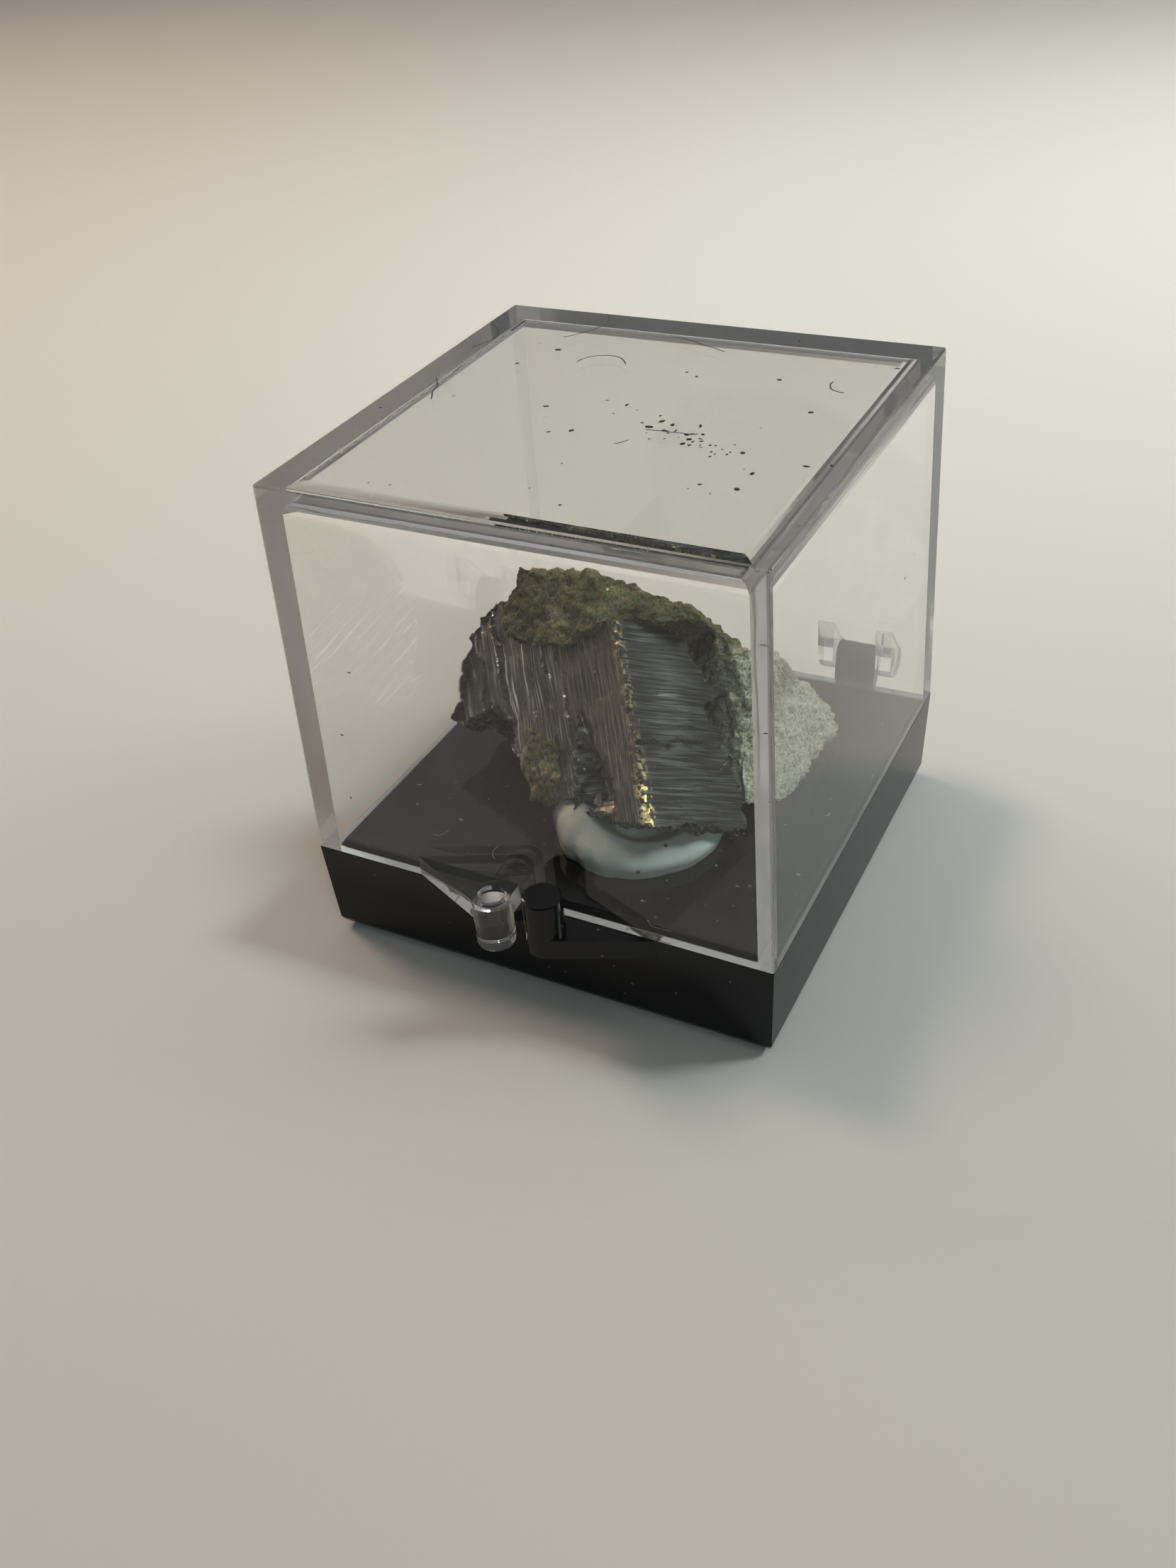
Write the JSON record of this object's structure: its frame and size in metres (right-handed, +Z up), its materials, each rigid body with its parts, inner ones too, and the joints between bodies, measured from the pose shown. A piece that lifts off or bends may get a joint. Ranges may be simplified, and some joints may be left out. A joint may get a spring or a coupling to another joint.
{
  "type": "pyrite specimen in hinged display box",
  "caption": "Clear-lidded box on a black base, hinged behind, holding a tilted pyrite crystal with rough matrix, set in white putty.",
  "frame": {"origin": "on the resting surface, under the middle of the base", "axes": "+Z up; -Y to the front, where the two opening tabs are; +Y to the hinges; +X to the right seen from the front"},
  "size_m": [0.032, 0.037, 0.033],
  "materials": {
    "black_polystyrene": "satin gloss",
    "clear_polystyrene": "clear",
    "white_putty": "matte",
    "pyrite_and_matrix": "striated metallic faces, matte matrix"
  },
  "bodies": {
    "body": {"base": "black_polystyrene", "mineral_putty": "white_putty", "pyrite_specimen": "pyrite_and_matrix"},
    "lid": {"lid": "clear_polystyrene"}
  },
  "joints": [
    {"name": "lid_hinge", "type": "hinge", "parent": "body", "child": "lid", "pos_m": [0, 0.01735, 0.00855], "axis": [-1, 0, 0], "range_deg": [0, 110]}
  ]
}
